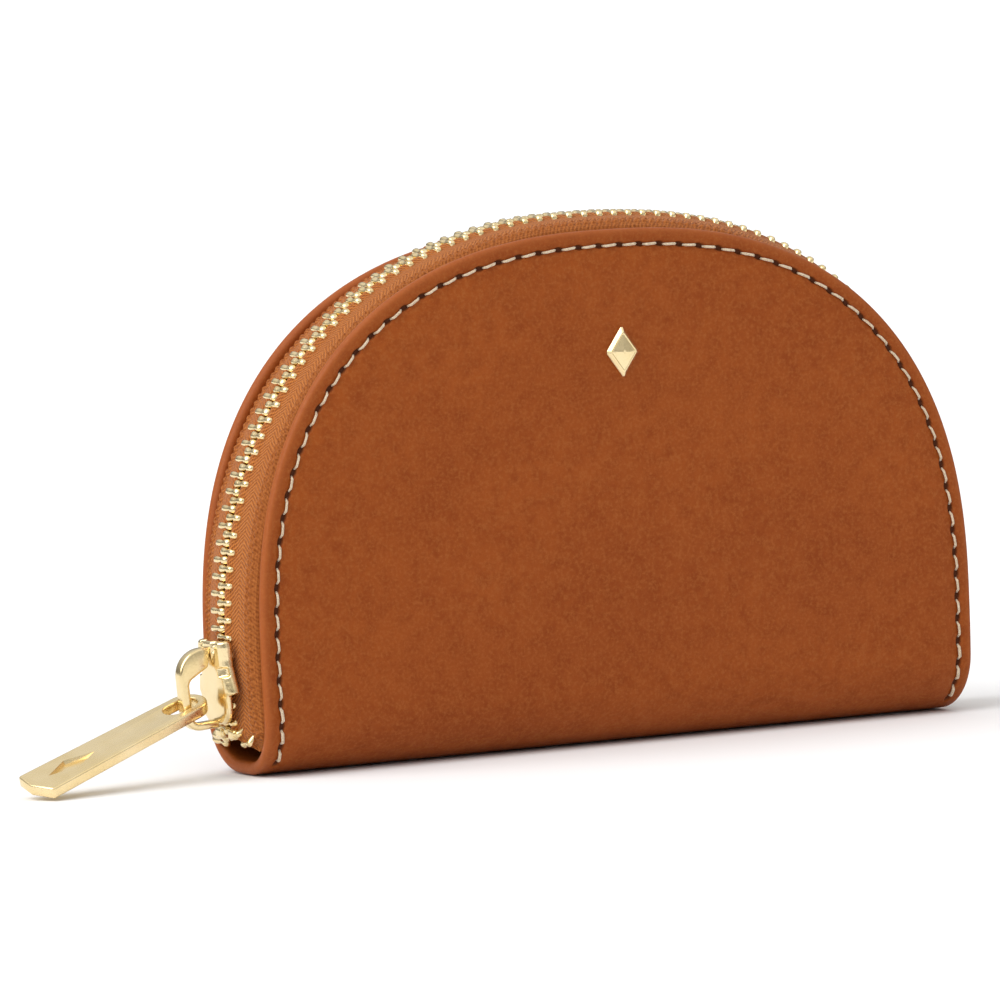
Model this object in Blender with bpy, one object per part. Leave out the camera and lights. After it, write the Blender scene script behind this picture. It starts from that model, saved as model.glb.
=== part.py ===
"""Half-moon zip pouch in leather: a U-folded strip with two D-shaped panels, closed by a curved metal zip.

Axes: X runs along the fold, -Y is the front panel's side, +Z is up.
The origin is the middle of the flat strip under the fold, on which the pouch stands.
The zip's left end is the open one: its slider is parked there, and travels over the top to the right end.
Objects: one for each physical piece. Empties mark the joint axes.
"""

import math

import bmesh
import bpy
import numpy as np
from mathutils import Matrix, Vector

MM = 0.001

# Driving dimensions of the closed pouch
HALF_WIDTH = 60.0 * MM
HEIGHT = 77.0 * MM
DEPTH = 21.0 * MM
WIDEST_Z = 18.5 * MM            # height at which the D is widest, and centre of the zip's arc
LEATHER = 1.9 * MM
GAP = 0.3 * MM                  # clearance that pieces keep where they meet

# Fold under the pouch
FOLD_RADIUS = 7.0 * MM          # outer radius of the fold's two corners, and height of the mouth's hinge
FOLD_HALF_LENGTH = 59.3 * MM
FOLD_TOP = 7.7 * MM
LINING = 0.6 * MM
LINING_FACE = 7.4 * MM          # distance of the lining's outer face from the middle plane
LINING_FLOOR = 2.3 * MM
LINING_RADIUS = 4.5 * MM
LINING_INSET = 3.6 * MM

# Two superellipses about (0, WIDEST_Z): half width, rise and exponent, which is 2 for an ellipse
PANEL_SHAPE = (HALF_WIDTH, HEIGHT - WIDEST_Z, 2.42)
CHAIN_SHAPE = (61.1 * MM, 60.0 * MM, 2.2)
LOWER_STRETCH = 1.5             # the same curves below WIDEST_Z are this much taller, so straighter

# Zip tapes, swept along the chain's path. Heights are measured outwards from that path
TAPE = 0.6 * MM
TAPE_INNER_Y = 3.5 * MM         # edge beside the teeth
TAPE_TURN_Y = 7.2 * MM          # where the tape starts to turn down behind the leather
TAPE_FLANGE_Y = 8.15 * MM       # outer face of the sewn flange
TAPE_FLANGE_DEPTH = 6.0 * MM
TAPE_LOW_Z = 5.6 * MM

# Zip teeth, clamped on the cord at each tape's edge
TOOTH_PITCH = 2.5 * MM
TOOTH_LENGTH = 0.85 * MM        # along the zip
TOOTH_HALF_HEIGHT = 1.2 * MM
TOOTH_OUTER_Y = 3.2 * MM
TOOTH_HEAD_Y = -0.45 * MM       # the head reaches past the middle plane
CORD_HALF_HEIGHT = 0.5 * MM
CORD_INNER_Y = 1.0 * MM
CHAIN_LOW_Z = 6.9 * MM
STOP_LENGTH = 1.4 * MM

# Slider, modelled about the zip's arc centre at the arc's left side, then leaned down to its parking place
SLIDER_LEAN = math.radians(-4.2)
SLIDER_HALF_LENGTH = 6.2 * MM
SLIDER_CHANNEL = 1.65 * MM      # half the height between its plates
SLIDER_TOP = 2.85 * MM
SLIDER_BOTTOM = 2.65 * MM
SLIDER_SLOT = 0.85 * MM         # half the height of the tape slots in its sides
SLIDER_CHANNEL_Y = 3.5 * MM
SLIDER_CLOSED_END_Y = 4.2 * MM
SLIDER_OPEN_END_Y = 4.9 * MM
POST_HALF_WIDTH = 0.6 * MM
POST_LENGTH = 3.4 * MM

# Bridge, the arch on the slider that carries the pull
BRIDGE_FOOT = SLIDER_TOP + GAP
BRIDGE_OUT = 8.1 * MM
BRIDGE_BAR = 1.5 * MM
BRIDGE_BASE = 0.75 * MM
BRIDGE_WIDTH = 2.4 * MM
BRIDGE_LOW = -6.6 * MM
BRIDGE_HIGH = 5.4 * MM
BRIDGE_HEEL = 1.0 * MM          # solid foot at the open end
BRIDGE_TOE = 2.8 * MM           # solid foot at the closed end
BRIDGE_LOW_RADIUS = 2.6 * MM
BRIDGE_HIGH_RADIUS = 4.0 * MM
BRIDGE_WINDOW_RADIUS = 0.8 * MM

# Pull tab, modelled along -X from the bar it hangs on
PULL_BAR_Z = -3.1 * MM          # the bar's place along the slider
PULL_LENGTH = 29.1 * MM
PULL_TIP_WIDTH = 7.9 * MM
PULL_EYE_WIDTH = 6.4 * MM
PULL_THICKNESS = 1.7 * MM
PULL_NEAR = 3.3 * MM            # end of the ring beyond the bar
PULL_POINT = 0.9 * MM
EYE_NEAR = 1.95 * MM
EYE_FAR = 3.7 * MM
EYE_WIDTH = 3.4 * MM
PULL_YAW = math.radians(12.4)    # the ring is loose on the bar, so the parked tab leans and turns a little
PULL_PITCH = math.radians(-17.6)
PULL_ROLL = math.radians(10.7)
RECESS_DEPTH = 0.35 * MM

# Seam thread and stud
SEAM_INSET = 2.4 * MM
THREAD_RADIUS = 0.25 * MM
STUD_PLACE = Matrix.Translation((1.0 * MM, 0, 58.7 * MM))
STUD_HALF_WIDTH = 2.8 * MM
STUD_HALF_HEIGHT = 3.9 * MM
STUD_THICKNESS = 1.1 * MM
STUD_POST_RADIUS = 0.7 * MM
WASHER_RADIUS = 2.4 * MM
WASHER_THICKNESS = 0.4 * MM

PANEL_LOW_Z = FOLD_TOP + GAP
PANEL_FACE_Y = DEPTH / 2
PANEL_MID_Y = PANEL_FACE_Y - LEATHER / 2
RIM_POINTS = 73

# A flat outline is drawn in its own XY plane and stood up: its Y becomes Z, and its Z faces the front
STAND_UP = Matrix.Rotation(math.radians(90), 4, "X")
# The same for a section across the pouch: its X becomes Y, its Y becomes Z, and it is extruded along X
STAND_ACROSS = Matrix.Rotation(math.radians(90), 4, "Z") @ STAND_UP
ARC_CENTRE = Vector((0, 0, WIDEST_Z))
SLIDER_FRAME = Matrix.Translation(ARC_CENTRE) @ Matrix.Rotation(SLIDER_LEAN, 4, "Y")
TRACK_RADIUS = CHAIN_SHAPE[0]   # distance of the parked slider's teeth from the arc's centre


def clear_scene():
    for obj in list(bpy.data.objects):
        bpy.data.objects.remove(obj, do_unlink=True)


def new_collection(name):
    collection = bpy.data.collections.new(name)
    bpy.context.scene.collection.children.link(collection)
    return collection


def new_material(name, colour, roughness, metallic=0.0):
    material = bpy.data.materials.new(name)
    material.use_nodes = True
    shader = material.node_tree.nodes["Principled BSDF"]
    shader.inputs["Base Color"].default_value = (*colour, 1.0)
    shader.inputs["Roughness"].default_value = roughness
    shader.inputs["Metallic"].default_value = metallic
    return material


clear_scene()
POUCH = new_collection("zip_pouch")
CUTTERS = new_collection("cutters")
TAN_LEATHER = new_material("tan_leather", (0.31, 0.09, 0.02), 0.45)
LINING_CLOTH = new_material("lining_cloth", (0.16, 0.06, 0.025), 0.85)
ZIP_TAPE = new_material("zip_tape", (0.58, 0.23, 0.06), 0.75)
PALE_BRASS = new_material("pale_brass", (0.86, 0.66, 0.34), 0.22, 1.0)
CREAM_THREAD = new_material("cream_thread", (0.80, 0.70, 0.52), 0.6)


# ---- Outlines and points ----

def rim(shape, outset, low_z, count):
    """Evenly spaced (x, z) points round one of the two shapes, moved outwards by outset.

    They run from the left end at low_z over the top to the right end.
    """
    half_width, rise, exponent = shape
    angle = np.linspace(-1.0, math.pi + 1.0, 6001)
    cosine, sine = np.cos(angle), np.sin(angle)
    x = -half_width * np.sign(cosine) * np.abs(cosine) ** (2 / exponent)
    rise = rise * np.where(sine < 0, LOWER_STRETCH, 1)
    z = WIDEST_Z + rise * np.sign(sine) * np.abs(sine) ** (2 / exponent)
    along_x, along_z = np.gradient(x), np.gradient(z)
    length = np.hypot(along_x, along_z)
    x, z = x - outset * along_z / length, z + outset * along_x / length
    kept = z >= low_z
    x, z = x[kept], z[kept]
    travel = np.concatenate([[0], np.cumsum(np.hypot(np.diff(x), np.diff(z)))])
    even = np.linspace(0, travel[-1], count)
    return [Vector((a, b)) for a, b in zip(np.interp(even, travel, x), np.interp(even, travel, z))]


def arc(centre, radius, start, end, steps=6):
    """Points of a circular arc, with angles in degrees."""
    angles = [math.radians(start + (end - start) * i / steps) for i in range(steps + 1)]
    return [Vector((centre[0] + radius * math.cos(a), centre[1] + radius * math.sin(a))) for a in angles]


def mirrored(points):
    """The outline's half at +X, joined to its mirror image at -X."""
    return points + [Vector((-p.x, p.y)) for p in reversed(points)]


# ---- Building tools ----

def add_object(name, data, material, matrix, collection=None):
    obj = bpy.data.objects.new(name, data)
    obj.matrix_world = matrix
    if material:
        obj.data.materials.append(material)
    (collection or POUCH).objects.link(obj)
    return obj


def plate(name, loops, thickness, material, matrix):
    """A flat plate from closed outlines: the first is its edge, any others are holes."""
    curve = bpy.data.curves.new(name, "CURVE")
    curve.dimensions = "2D"
    curve.fill_mode = "BOTH"
    curve.extrude = thickness / 2
    for loop in loops:
        spline = curve.splines.new("POLY")
        spline.points.add(len(loop) - 1)
        for point, place in zip(spline.points, loop):
            point.co = (place[0], place[1], 0, 1)
        spline.use_cyclic_u = True
    return add_object(name, curve, material, matrix)


def sweep(name, path, section, material, matrix):
    """A closed section, in (outset, y) pairs, swept along a flat path of (x, z) points."""
    around = zip(section, section[1:] + section[:1])
    clockwise = sum(a[0] * b[1] - b[0] * a[1] for a, b in around) < 0
    section = section if clockwise else section[::-1]
    profile = bpy.data.curves.new(name + "_section", "CURVE")
    profile.dimensions = "2D"
    edge = profile.splines.new("POLY")
    edge.points.add(len(section) - 1)
    for point, (outset, y) in zip(edge.points, section):
        point.co = (-outset, -y, 0, 1)
    edge.use_cyclic_u = True
    guide = add_object(name + "_section", profile, None, Matrix.Identity(4), CUTTERS)
    guide.hide_render = True
    guide.display_type = "WIRE"

    curve = bpy.data.curves.new(name, "CURVE")
    curve.dimensions = "2D"
    curve.bevel_mode = "OBJECT"
    curve.bevel_object = guide
    curve.use_fill_caps = True
    spline = curve.splines.new("POLY")
    spline.points.add(len(path) - 1)
    for point, place in zip(spline.points, path):
        point.co = (place[0], place[1], 0, 1)
    return add_object(name, curve, material, matrix)


def as_mesh(obj):
    """Replaces a curve object by a welded mesh object with the same name, so that it can be cut and joined."""
    bpy.context.view_layer.update()
    evaluated = obj.evaluated_get(bpy.context.evaluated_depsgraph_get())
    mesh = bpy.data.meshes.new_from_object(evaluated)
    work = bmesh.new()
    work.from_mesh(mesh)
    bmesh.ops.remove_doubles(work, verts=work.verts, dist=0.00001)
    bmesh.ops.recalc_face_normals(work, faces=work.faces)
    work.to_mesh(mesh)
    work.free()
    name, matrix = obj.name, obj.matrix_world.copy()
    bpy.data.objects.remove(obj)
    return add_object(name, mesh, None, matrix)


def mesh_from(work, name, material, matrix=Matrix.Identity(4), collection=None):
    bmesh.ops.recalc_face_normals(work, faces=work.faces)
    mesh = bpy.data.meshes.new(name)
    work.to_mesh(mesh)
    work.free()
    return add_object(name, mesh, material, matrix, collection)


def add_box(work, low, high, matrix=Matrix.Identity(4)):
    low, high = Vector(low), Vector(high)
    size = Matrix.Diagonal((*(high - low), 1.0))
    bmesh.ops.create_cube(work, size=1.0, matrix=matrix @ Matrix.Translation((low + high) / 2) @ size)


def add_cylinder(work, radius, y_low, y_high, sides=24):
    """A cylinder along Y through the origin's X and Z."""
    place = Matrix.Translation((0, (y_low + y_high) / 2, 0)) @ Matrix.Rotation(math.radians(90), 4, "X")
    bmesh.ops.create_cone(work, cap_ends=True, segments=sides, radius1=radius, radius2=radius,
                          depth=y_high - y_low, matrix=place)


def combine(obj, operation, tool):
    """Joins the tool to obj, or cuts it away, and keeps the tool as a hidden guide."""
    modifier = obj.modifiers.new(operation.lower(), "BOOLEAN")
    modifier.operation = operation
    modifier.object = tool
    tool.hide_render = True
    tool.display_type = "WIRE"
    return modifier


# ---- Leather, lining and seams ----

def panel_outline(inset):
    return rim(PANEL_SHAPE, -inset, PANEL_LOW_Z, RIM_POINTS)


def build_leather_panel(name, side):
    """One D of leather. side is -1 at the front and +1 at the back."""
    place = Matrix.Translation((0, side * PANEL_MID_Y, 0)) @ STAND_UP
    return plate(name, [panel_outline(0)], LEATHER, TAN_LEATHER, place)


def fold_section(half_depth, floor, radius, thickness, top):
    """U-shaped section of a strip folded under the pouch, in (y, z)."""
    centre = (half_depth - radius, floor + radius)
    outer = arc(centre, radius, -90, 0) + [Vector((half_depth, top))]
    inner = arc(centre, radius - thickness, -90, 0) + [Vector((half_depth - thickness, top))]
    return mirrored(outer + inner[::-1])


def build_fold(name, section, half_length, material):
    return plate(name, [section], 2 * half_length, material, STAND_ACROSS)


def build_lining_panel(name, side):
    place = Matrix.Translation((0, side * (LINING_FACE - LINING / 2), 0)) @ STAND_UP
    return plate(name, [panel_outline(LINING_INSET)], LINING, LINING_CLOTH, place)


def build_seam_thread(name, side):
    """The line of stitching, which stands on the panel's outer face."""
    depth = side * (PANEL_FACE_Y + GAP + THREAD_RADIUS)
    section = [(p.x, p.y + depth) for p in arc((0, 0), THREAD_RADIUS, 0, 300, 5)]
    path = rim(PANEL_SHAPE, -SEAM_INSET, PANEL_LOW_Z + GAP, RIM_POINTS)
    return sweep(name, path, section, CREAM_THREAD, STAND_UP)


# ---- Zip ----

def build_tape(name, side):
    """Woven tape: flat beside the teeth, bowed down to the panel, with its sewn flange behind the leather."""
    outer_y = [TAPE_INNER_Y, 5.4 * MM, TAPE_TURN_Y, TAPE_FLANGE_Y, TAPE_FLANGE_Y]
    outer_z = [TAPE / 2, 0, -0.8 * MM, -1.6 * MM, -TAPE_FLANGE_DEPTH]
    inner_y = [TAPE_INNER_Y, 5.3 * MM, TAPE_TURN_Y - 0.3 * MM, TAPE_FLANGE_Y - TAPE, TAPE_FLANGE_Y - TAPE]
    inner_z = [-TAPE / 2, -TAPE, -1.4 * MM, -2.0 * MM, -TAPE_FLANGE_DEPTH]
    section = list(zip(outer_z, outer_y)) + list(zip(inner_z, inner_y))[::-1]
    section = [(outset, side * y) for outset, y in section]
    return sweep(name, rim(CHAIN_SHAPE, 0, TAPE_LOW_Z, RIM_POINTS), section, ZIP_TAPE, STAND_UP)


def zip_frame(places, index):
    """Frame of one tooth: X inwards, Y to the back, Z along the zip."""
    here = places[index]
    along = (places[min(index + 1, len(places) - 1)] - places[max(index - 1, 0)]).normalized()
    inwards = Vector((along.y, 0, -along.x))
    forwards = Vector((along.x, 0, along.y))
    frame = Matrix((inwards, Vector((0, 1, 0)), forwards)).transposed().to_4x4()
    frame.translation = (here.x, 0, here.y)
    return frame


def build_teeth(name, side):
    """One row of teeth on its cord, as a comb. The two rows are offset by half a pitch, so that they mesh."""
    chain = rim(CHAIN_SHAPE, 0, CHAIN_LOW_Z, 2000)
    length = sum((b - a).length for a, b in zip(chain, chain[1:]))
    count = int(length / (TOOTH_PITCH / 2))
    places = rim(CHAIN_SHAPE, 0, CHAIN_LOW_Z, count + 1)
    section = [(CORD_HALF_HEIGHT, CORD_INNER_Y), (CORD_HALF_HEIGHT, TOOTH_OUTER_Y - 0.1 * MM),
               (-CORD_HALF_HEIGHT, TOOTH_OUTER_Y - 0.1 * MM), (-CORD_HALF_HEIGHT, CORD_INNER_Y)]
    section = [(outset, side * y) for outset, y in section]
    cord = as_mesh(sweep(name, rim(CHAIN_SHAPE, 0, CHAIN_LOW_Z, RIM_POINTS), section, PALE_BRASS, STAND_UP))

    work = bmesh.new()
    first = 1 if side < 0 else 2
    for index in range(first, count - 1, 2):
        place = places[index]
        parted = place.x < 0 and place.y < WIDEST_Z - 5.0 * MM
        head = CORD_INNER_Y - 0.05 * MM if parted else TOOTH_HEAD_Y
        low_y, high_y = sorted((side * head, side * TOOTH_OUTER_Y))
        low = (-TOOTH_HALF_HEIGHT, low_y, -TOOTH_LENGTH / 2)
        high = (TOOTH_HALF_HEIGHT, high_y, TOOTH_LENGTH / 2)
        add_box(work, low, high, zip_frame(places, index))
    teeth = mesh_from(work, name + "_boxes", None, collection=CUTTERS)
    combine(cord, "UNION", teeth)
    return cord


def build_stop(name, low_y, high_y, end):
    """A small crimped clip beyond the last tooth. end is 0 at the zip's left end and 1 at its right end."""
    places = rim(CHAIN_SHAPE, 0, TAPE_LOW_Z, 400)
    target = CHAIN_LOW_Z - GAP - STOP_LENGTH / 2
    half = places[:200] if end == 0 else places[200:]
    index = min(range(200), key=lambda i: abs(half[i].y - target)) + 200 * end
    work = bmesh.new()
    low = (-TOOTH_HALF_HEIGHT, low_y, -STOP_LENGTH / 2)
    high = (TOOTH_HALF_HEIGHT, high_y, STOP_LENGTH / 2)
    add_box(work, low, high, zip_frame(places, index))
    return mesh_from(work, name, PALE_BRASS)


# ---- Slider and pull ----

def slider_outline(spread):
    """Half outline of the slider's plates at +Y, in (y, along): narrow at the closed end, flared at the open end."""
    end = SLIDER_HALF_LENGTH
    return [
        Vector((SLIDER_CLOSED_END_Y - 1.2 * MM + spread, end)),
        Vector((SLIDER_CLOSED_END_Y + spread, end - 1.2 * MM)),
        Vector((SLIDER_CLOSED_END_Y + spread, 0.5 * MM)),
        Vector((SLIDER_OPEN_END_Y + spread, -2.5 * MM)),
        Vector((SLIDER_OPEN_END_Y + spread, -end + 1.5 * MM)),
        Vector((SLIDER_OPEN_END_Y - 1.5 * MM + spread, -end)),
    ]


def build_slider_body():
    """Two plates, their side flanges and the post that joins them at the open end."""
    middle = -TRACK_RADIUS - (SLIDER_TOP - SLIDER_BOTTOM) / 2
    place = SLIDER_FRAME @ Matrix.Translation((middle, 0, 0)) @ STAND_ACROSS
    outline = mirrored(slider_outline(0))
    body = as_mesh(plate("slider_body", [outline], SLIDER_TOP + SLIDER_BOTTOM, PALE_BRASS, place))

    reach = 2 * SLIDER_HALF_LENGTH
    work = bmesh.new()
    add_box(work, (-TRACK_RADIUS - SLIDER_CHANNEL, -SLIDER_CHANNEL_Y, -reach),
            (-TRACK_RADIUS + SLIDER_CHANNEL, SLIDER_CHANNEL_Y, reach))
    channel = mesh_from(work, "slider_channel", None, SLIDER_FRAME, CUTTERS)
    work = bmesh.new()
    add_box(work, (-TRACK_RADIUS - SLIDER_SLOT, -reach, -reach), (-TRACK_RADIUS + SLIDER_SLOT, reach, reach))
    slots = mesh_from(work, "slider_slots", None, SLIDER_FRAME, CUTTERS)
    work = bmesh.new()
    sink = 0.3 * MM
    low_end = -SLIDER_HALF_LENGTH + 0.4 * MM
    add_box(work, (-TRACK_RADIUS - SLIDER_CHANNEL - sink, -POST_HALF_WIDTH, low_end),
            (-TRACK_RADIUS + SLIDER_CHANNEL + sink, POST_HALF_WIDTH, low_end + POST_LENGTH))
    post = mesh_from(work, "slider_post", None, SLIDER_FRAME, CUTTERS)
    combine(body, "DIFFERENCE", channel)
    combine(body, "DIFFERENCE", slots)
    combine(body, "UNION", post)
    return body


def build_slider_bridge():
    """The arch over the slider's outer plate, with the window that the pull's ring passes through."""
    def at(outset, along):
        return Vector((-TRACK_RADIUS - outset, along))

    def corner(outset, along, radius, start):
        return arc(at(outset, along), radius, start, start + 90)

    outer = [at(BRIDGE_FOOT, BRIDGE_HIGH), at(BRIDGE_OUT - BRIDGE_HIGH_RADIUS, BRIDGE_HIGH)]
    outer += corner(BRIDGE_OUT - BRIDGE_HIGH_RADIUS, BRIDGE_HIGH - BRIDGE_HIGH_RADIUS, BRIDGE_HIGH_RADIUS, 90)[1:]
    outer += corner(BRIDGE_OUT - BRIDGE_LOW_RADIUS, BRIDGE_LOW + BRIDGE_LOW_RADIUS, BRIDGE_LOW_RADIUS, 180)
    outer += [at(BRIDGE_FOOT, BRIDGE_LOW)]

    top, low = BRIDGE_HIGH - BRIDGE_TOE, BRIDGE_LOW + BRIDGE_HEEL
    base, bar = BRIDGE_FOOT + BRIDGE_BASE, BRIDGE_OUT - BRIDGE_BAR
    soft = BRIDGE_WINDOW_RADIUS
    window = corner(base + soft, top - soft, soft, 0)
    window += corner(bar - soft, top - soft, soft, 90)
    window += corner(bar - soft, low + soft, soft, 180)
    window += corner(base + soft, low + soft, soft, 270)
    return plate("slider_bridge", [outer, window], BRIDGE_WIDTH, PALE_BRASS, SLIDER_FRAME @ STAND_UP)


def pull_bar_place():
    return SLIDER_FRAME @ Vector((-TRACK_RADIUS - BRIDGE_OUT + BRIDGE_BAR / 2, 0, PULL_BAR_Z))


def build_pull_tab():
    """Flat tab with an oval eye at its near end, a shallow point at its tip and a lozenge recess."""
    half_eye, half_tip = PULL_EYE_WIDTH / 2, PULL_TIP_WIDTH / 2
    ring = arc((PULL_NEAR - half_eye, 0), half_eye, 0, 90, 8)
    edge = ring + [Vector((-PULL_LENGTH, half_tip)), Vector((-PULL_LENGTH - PULL_POINT, 0))]
    edge = edge + [Vector((p.x, -p.y)) for p in reversed(edge[1:-1])]
    half_hole = EYE_WIDTH / 2
    eye = arc((EYE_NEAR - half_hole, 0), half_hole, -90, 90, 10)
    eye += arc((-EYE_FAR + half_hole, 0), half_hole, 90, 270, 10)
    turn = Matrix.Rotation(PULL_PITCH, 4, "Y") @ Matrix.Rotation(PULL_ROLL, 4, "X")
    place = Matrix.Translation(pull_bar_place()) @ Matrix.Rotation(PULL_YAW, 4, "Z") @ turn
    tab = as_mesh(plate("pull_tab", [edge, eye], PULL_THICKNESS, PALE_BRASS, place))

    work = bmesh.new()
    lozenge = Matrix.Translation((-PULL_LENGTH + 7.0 * MM, 0, PULL_THICKNESS / 2)) @ Matrix.Diagonal(
        (4.4, 1.8, 1.0, 1.0))
    bmesh.ops.create_cone(work, cap_ends=True, segments=4, radius1=1.0 * MM, radius2=1.0 * MM,
                          depth=2 * RECESS_DEPTH, matrix=lozenge)
    combine(tab, "DIFFERENCE", mesh_from(work, "pull_recess", None, place, CUTTERS))
    return tab


# ---- Stud ----

def build_stud():
    """Faceted lozenge on the front panel, riveted through it on a short post."""
    face = -PANEL_FACE_Y - GAP
    back = -LINING_FACE - 0.3 * MM
    work = bmesh.new()
    shape = Matrix.Translation((0, face - STUD_THICKNESS / 2, 0)) @ Matrix.Diagonal(
        (STUD_HALF_WIDTH / STUD_HALF_HEIGHT, 1, 1, 1)) @ Matrix.Rotation(math.radians(90), 4, "X")
    bmesh.ops.create_cone(work, cap_ends=True, segments=4, radius1=STUD_HALF_HEIGHT,
                          radius2=0.45 * STUD_HALF_HEIGHT, depth=STUD_THICKNESS, matrix=shape)
    stud = mesh_from(work, "emblem_stud", PALE_BRASS, STUD_PLACE)
    work = bmesh.new()
    add_cylinder(work, STUD_POST_RADIUS, face - STUD_THICKNESS / 2, back)
    post = mesh_from(work, "stud_post", None, STUD_PLACE, CUTTERS)
    combine(stud, "UNION", post)
    return stud


def build_washer():
    """Backing washer of the stud, between the leather and the lining."""
    circle = arc((0, 0), WASHER_RADIUS, 0, 345, 23)
    hole = arc((0, 0), STUD_POST_RADIUS + GAP, 0, 345, 23)
    middle = -PANEL_FACE_Y + LEATHER + GAP + WASHER_THICKNESS / 2
    place = STUD_PLACE @ Matrix.Translation((0, middle, 0)) @ STAND_UP
    return plate("emblem_washer", [circle, hole], WASHER_THICKNESS, PALE_BRASS, place)


def pierce_front_panel(panel):
    """The hole for the stud's post."""
    panel = as_mesh(panel)
    work = bmesh.new()
    add_cylinder(work, STUD_POST_RADIUS + GAP, -DEPTH, 0)
    combine(panel, "DIFFERENCE", mesh_from(work, "stud_hole", None, STUD_PLACE, CUTTERS))


# ---- Assembly ----

def hang_on(empty_name, place, members, parent=None):
    """Parents the pieces to an empty that stands on their joint's axis, and leaves them where they are."""
    empty = bpy.data.objects.new(empty_name, None)
    POUCH.objects.link(empty)
    empty.location = place
    if parent:
        empty.parent = parent
        empty.matrix_parent_inverse = parent.matrix_world.inverted()
    bpy.context.view_layer.update()
    for name in members:
        obj = bpy.data.objects[name]
        obj.parent = empty
        obj.matrix_parent_inverse = empty.matrix_world.inverted()
    return empty


def build_pouch():
    for place, side in (("front", -1), ("back", 1)):
        panel = build_leather_panel(place + "_panel", side)
        if side < 0:
            pierce_front_panel(panel)
        build_lining_panel(place + "_lining", side)
        build_tape(place + "_tape", side)
        build_teeth(place + "_teeth", side)
        build_seam_thread(place + "_seam_thread", side)
        low_y, high_y = sorted((side * CORD_INNER_Y, side * TOOTH_OUTER_Y))
        build_stop("top_stop_" + place, low_y, high_y, 0)
    build_stop("bottom_stop", -TOOTH_OUTER_Y, TOOTH_OUTER_Y, 1)
    outer = fold_section(PANEL_FACE_Y, 0, FOLD_RADIUS, LEATHER, FOLD_TOP)
    build_fold("base_fold", outer, FOLD_HALF_LENGTH, TAN_LEATHER)
    inner = fold_section(LINING_FACE, LINING_FLOOR, LINING_RADIUS, LINING, FOLD_TOP)
    build_fold("base_lining", inner, FOLD_HALF_LENGTH - LINING_INSET, LINING_CLOTH)
    build_stud()
    build_washer()
    build_slider_body()
    build_slider_bridge()
    build_pull_tab()

    front = ["front_panel", "front_lining", "front_tape", "front_teeth", "front_seam_thread",
             "top_stop_front", "emblem_stud", "emblem_washer"]
    hang_on("mouth_hinge_axis", (0, 0, FOLD_RADIUS), front)
    slider = hang_on("zip_arc_centre", ARC_CENTRE, ["slider_body", "slider_bridge"])
    hang_on("pull_bar", pull_bar_place(), ["pull_tab"], slider)


build_pouch()
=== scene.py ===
import math

import bmesh
import bpy
import numpy as np
from mathutils import Matrix, Vector


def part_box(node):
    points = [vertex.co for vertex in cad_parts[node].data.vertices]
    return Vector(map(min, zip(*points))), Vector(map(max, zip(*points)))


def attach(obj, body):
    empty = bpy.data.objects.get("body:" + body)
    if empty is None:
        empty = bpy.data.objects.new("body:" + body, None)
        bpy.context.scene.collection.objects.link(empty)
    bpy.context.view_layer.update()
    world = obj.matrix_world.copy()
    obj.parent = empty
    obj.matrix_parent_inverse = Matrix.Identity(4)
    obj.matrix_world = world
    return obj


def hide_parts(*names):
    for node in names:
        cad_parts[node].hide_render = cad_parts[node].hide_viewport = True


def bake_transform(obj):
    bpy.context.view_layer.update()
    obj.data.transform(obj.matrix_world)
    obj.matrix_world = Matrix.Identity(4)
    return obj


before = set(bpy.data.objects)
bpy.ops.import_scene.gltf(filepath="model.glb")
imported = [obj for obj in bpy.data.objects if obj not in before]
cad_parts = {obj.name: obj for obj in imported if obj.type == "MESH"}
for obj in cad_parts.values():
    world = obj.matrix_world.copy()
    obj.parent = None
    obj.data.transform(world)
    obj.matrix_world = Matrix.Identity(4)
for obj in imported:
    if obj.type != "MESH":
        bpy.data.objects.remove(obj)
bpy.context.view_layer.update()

# Lengths below are in millimetres unless a comment says otherwise, and meshes are scaled to metres when
# they are made.
MM = 0.001

# The D of a panel and of the zip. Each is a superellipse about (0, WIDEST_Z): its half width, its rise, and
# its exponents on the left and on the right. Below WIDEST_Z its height is stretched.
WIDEST_Z = 18.5
LOWER_STRETCH = 1.5
PANEL_SHAPE = (60.0, 58.5, 2.42, 2.42)
CHAIN_SHAPE = (61.1, 60.0, 2.2, 2.42)

# The leather, and its fold under the pouch
LEATHER = 1.9
FOLD_FLAT = 1.7                 # half width of the flat strip that the pouch stands on
FOLD_RADIUS = 8.8
LEATHER_CORE = 6.0              # width of the finely divided band round the leather's edge
CORE_REACH = 40.0               # nominal distance from a sheet's band to its middle

# The seam
SEAM_INSET = 2.4
STITCH_PITCH = 3.4
SEAM_LOW = 7.4                  # distance from the pouch's middle line, round the fold, where the seam ends
HOLE_HALF_LENGTH = 0.78
HOLE_HALF_WIDTH = 0.43
THREAD_RADIUS = 0.19

# The zip
TOOTH_PITCH = 2.5
ROW_LOW = 4.0                   # where the rows of teeth end, and where the tapes end
TAPE_LOW = 3.8
PARTED = 5.4                    # how far each row leaves the middle plane at the open end
PARTED_BELOW = 7.0              # the height below which it does, and how much lower it is fully apart
PARTED_WITHIN = 3.0
CLOSED_END_HIGH = 8.0           # the front teeth below this, at the closed end, never leave the back ones
TUCK = 1.8                      # how far the zip's ends turn in behind the leather
TUCK_BELOW = 6.4                # the height below which they do, and how much lower they are fully in
TUCK_WITHIN = 2.6

# The slider, and the pull's pose on its bridge
SLIDER_LEAN = math.radians(-4.2)
TRACK_RADIUS = CHAIN_SHAPE[0]
BRIDGE_OUT = 8.1                # how far the bridge stands out from the zip's line
PULL_TURNS = {"Z": 12.4, "Y": -17.6, "X": 10.7}         # degrees


# ---- Numbers and meshes ----

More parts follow.
